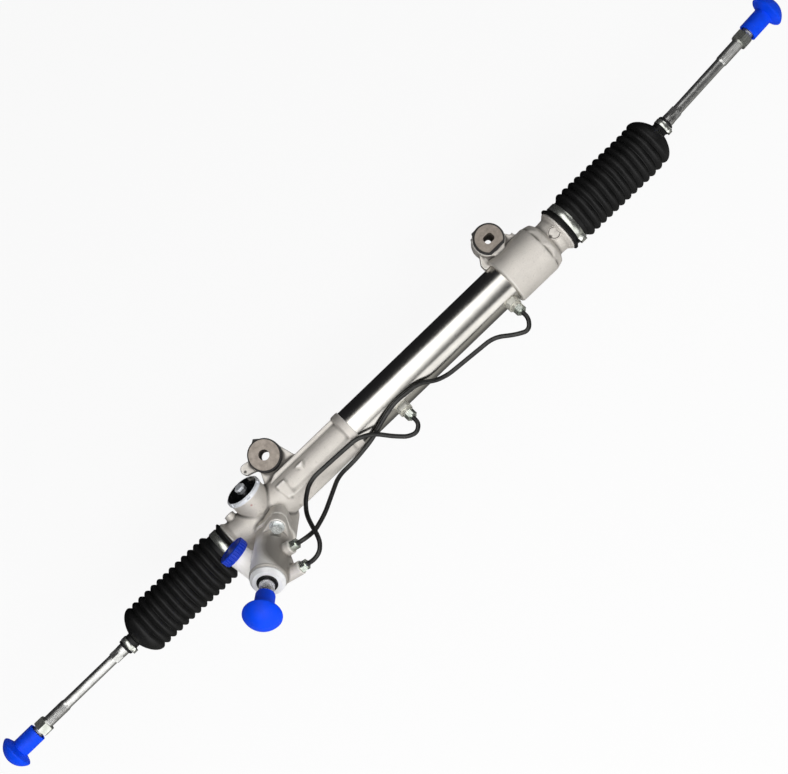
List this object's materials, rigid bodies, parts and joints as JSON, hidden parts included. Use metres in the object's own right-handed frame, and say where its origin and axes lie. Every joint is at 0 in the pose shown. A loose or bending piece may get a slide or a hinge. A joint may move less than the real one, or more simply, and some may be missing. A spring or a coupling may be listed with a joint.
{
  "type": "steering rack",
  "caption": "Hydraulic rack-and-pinion steering gear with bellows, ball-jointed tie rods, rubber-bushed mounting eyes and capped shaft and rod ends.",
  "frame": {"origin": "middle of the left mounting bush, on its bore axis", "axes": "+Z along the bush bore, +X along the rack from the pinion end towards the cylinder end, +Y from the rack towards the bushes"},
  "size_m": [1.2547, 0.1796, 0.1879],
  "materials": {
    "cast_aluminium": "fine cast",
    "zinc_steel": "zinc plated",
    "bearing_steel": "ground",
    "black_rubber": "moulded",
    "bush_rubber": "moulded",
    "light_plastic": "moulded",
    "low_friction_plastic": "moulded",
    "gloss_black": "glossy black",
    "polished_steel": "polished",
    "machined_steel": "machined",
    "brushed_steel": "turned",
    "line_coat": "dark coating",
    "rod_steel": "forged and plated",
    "blue_plastic": "glossy"
  },
  "bodies": {
    "housing": {"gear_housing": "cast_aluminium", "valve_housing": "cast_aluminium", "valve_housing_bolts": "zinc_steel", "pinion_lower_bearing": "bearing_steel", "pinion_upper_bearing": "bearing_steel", "pinion_bottom_plug": "zinc_steel", "shaft_bearing": "bearing_steel", "shaft_seal": "black_rubber", "dust_cover": "light_plastic", "dust_lip_seal": "black_rubber", "rack_guide": "cast_aluminium", "guide_liner": "low_friction_plastic", "guide_spring": "bearing_steel", "guide_cap": "gloss_black", "guide_lock_nut": "gloss_black", "cylinder_tube": "polished_steel", "port_bosses": "brushed_steel", "inner_seal_sleeve": "machined_steel", "inner_rack_seal": "black_rubber", "end_housing": "cast_aluminium", "end_rack_seal": "black_rubber", "end_rack_bushing": "low_friction_plastic", "end_retaining_ring": "bearing_steel", "left_bush_sleeve": "brushed_steel", "left_bush_rubber": "bush_rubber", "right_bush_sleeve": "brushed_steel", "right_bush_rubber": "bush_rubber", "long_hydraulic_line": "line_coat", "short_hydraulic_line": "line_coat", "flare_nuts": "zinc_steel", "left_bellows": "black_rubber", "right_bellows": "black_rubber", "large_clamps": "zinc_steel"},
    "rack": {"rack_bar": "machined_steel", "piston": "machined_steel", "piston_ring": "low_friction_plastic", "left_ball_socket": "rod_steel", "right_ball_socket": "rod_steel", "left_socket_washer": "bearing_steel", "right_socket_washer": "bearing_steel"},
    "pinion": {"pinion": "machined_steel", "valve_sleeve": "machined_steel", "sleeve_rings": "low_friction_plastic", "torsion_bar": "machined_steel"},
    "input_shaft": {"input_shaft": "polished_steel"},
    "left_seat": {"left_ball_seat": "low_friction_plastic"},
    "right_seat": {"right_ball_seat": "low_friction_plastic"},
    "left_tie_rod": {"left_tie_rod": "rod_steel", "left_jam_nut": "zinc_steel", "left_small_clamp": "zinc_steel"},
    "right_tie_rod": {"right_tie_rod": "rod_steel", "right_jam_nut": "zinc_steel", "right_small_clamp": "zinc_steel"},
    "left_cap": {"left_rod_cap": "blue_plastic"},
    "right_cap": {"right_rod_cap": "blue_plastic"},
    "shaft_cap": {"pinion_cap": "blue_plastic"},
    "port_cap": {"port_plug": "blue_plastic"}
  },
  "joints": [
    {"name": "rack_slide", "type": "slide", "parent": "housing", "child": "rack", "axis": [1, 0, 0], "range_m": [-0.064, 0.064], "deforming": ["left_bellows", "right_bellows"]},
    {"name": "pinion_spin", "type": "hinge", "parent": "housing", "child": "pinion", "pos_m": [-0.042, -0.06276, -0.00881], "axis": [-0.4695, -0.4415, 0.7647], "range_deg": [-477, 477]},
    {"name": "valve_twist", "type": "hinge", "parent": "pinion", "child": "input_shaft", "pos_m": [-0.07017, -0.08925, 0.03707], "axis": [-0.4695, -0.4415, 0.7647], "range_deg": [-4, 4], "stiffness_Nm_per_rad": 100},
    {"name": "left_tie_yaw", "type": "hinge", "parent": "rack", "child": "left_seat", "pos_m": [-0.2155, -0.0475, 0], "axis": [0, 0, 1], "range_deg": [-20, 20]},
    {"name": "left_tie_pitch", "type": "hinge", "parent": "left_seat", "child": "left_tie_rod", "pos_m": [-0.2155, -0.0475, 0], "axis": [0, 1, 0], "range_deg": [-20, 20]},
    {"name": "right_tie_yaw", "type": "hinge", "parent": "rack", "child": "right_seat", "pos_m": [0.5485, -0.0475, 0], "axis": [0, 0, 1], "range_deg": [-20, 20]},
    {"name": "right_tie_pitch", "type": "hinge", "parent": "right_seat", "child": "right_tie_rod", "pos_m": [0.5485, -0.0475, 0], "axis": [0, 1, 0], "range_deg": [-20, 20]},
    {"name": "left_cap_pull", "type": "slide", "parent": "left_tie_rod", "child": "left_cap", "axis": [-1, 0, 0], "range_m": [0, 0.05]},
    {"name": "right_cap_pull", "type": "slide", "parent": "right_tie_rod", "child": "right_cap", "axis": [0.9978, 0.0663, 0], "range_m": [0, 0.05]},
    {"name": "shaft_cap_pull", "type": "slide", "parent": "input_shaft", "child": "shaft_cap", "axis": [-0.4695, -0.4415, 0.7647], "range_m": [0, 0.04]},
    {"name": "port_cap_pull", "type": "slide", "parent": "housing", "child": "port_cap", "axis": [-0.1203, 0.9522, 0.2807], "range_m": [0, 0.03]}
  ],
  "couplings": [
    {"joint": "pinion_spin", "follows": "rack_slide", "rad_per_m": -129.87}
  ]
}
